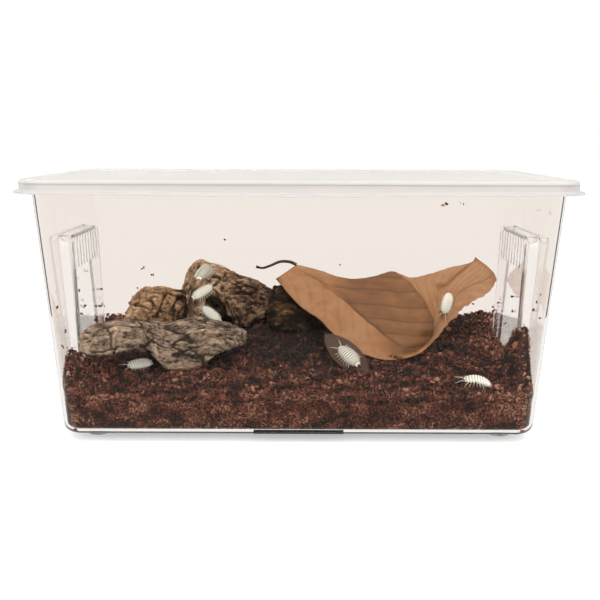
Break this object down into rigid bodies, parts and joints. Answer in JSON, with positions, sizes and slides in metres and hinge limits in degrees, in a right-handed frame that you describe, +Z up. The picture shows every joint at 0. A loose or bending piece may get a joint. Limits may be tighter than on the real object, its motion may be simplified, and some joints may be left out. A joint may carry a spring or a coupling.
{
  "type": "pet keeper",
  "caption": "Clear tapered plastic tub with a loose lid, end handle recesses and domed feet, set up with a coir bed, cork bark hides, dry leaves and pale isopods",
  "frame": {"origin": "middle of the footprint, on the surface the feet stand on", "axes": "+X along the length, to the right seen from the front; -Y is the front; +Z is up"},
  "size_m": [0.3508, 0.2278, 0.1684],
  "materials": {
    "clear_polystyrene": "clear, glossy, moulded",
    "milky_lid": "milky translucent, satin",
    "clear_feet": "clear, glossy, domed",
    "label_paper": "plain dark paper, unprinted",
    "coir": "loose damp fibre and chips",
    "cork_grey": "rough cork bark, weathered grey",
    "cork_brown": "rough cork bark, brown",
    "cork_dark": "rough cork bark, dark inner side",
    "dry_leaf": "dry leaf, satin with raised veins",
    "dark_leaf": "dry leaf, dark brown",
    "isopod_shell": "pale shell, soft sheen"
  },
  "bodies": {
    "keeper": {"tub": "clear_polystyrene", "foot_front_left": "clear_feet", "foot_front_right": "clear_feet", "foot_rear_left": "clear_feet", "foot_rear_right": "clear_feet", "base_label": "label_paper", "substrate_bed": "coir", "cork_block_left": "cork_brown", "cork_hump_back": "cork_brown", "cork_bark_rear_right": "cork_dark", "leaf_small": "dark_leaf", "isopod_1": "isopod_shell", "isopod_2": "isopod_shell", "isopod_3": "isopod_shell", "isopod_4": "isopod_shell", "isopod_5": "isopod_shell", "isopod_7": "isopod_shell", "wall_crumbs_left": "coir", "wall_crumbs_right": "coir"},
    "lid": {"lid": "milky_lid"},
    "leaf": {"leaf_large": "dry_leaf", "isopod_6": "isopod_shell"},
    "front_bark": {"cork_slab_front": "cork_grey"}
  },
  "joints": [
    {"name": "lid_lift", "type": "slide", "parent": "keeper", "child": "lid", "axis": [0, 0, 1], "range_m": [0, 0.1]},
    {"name": "leaf_lift", "type": "slide", "parent": "keeper", "child": "leaf", "axis": [0, 0, 1], "range_m": [0, 0.03]},
    {"name": "front_bark_lift", "type": "slide", "parent": "keeper", "child": "front_bark", "axis": [0, 0, 1], "range_m": [0, 0.025]}
  ]
}
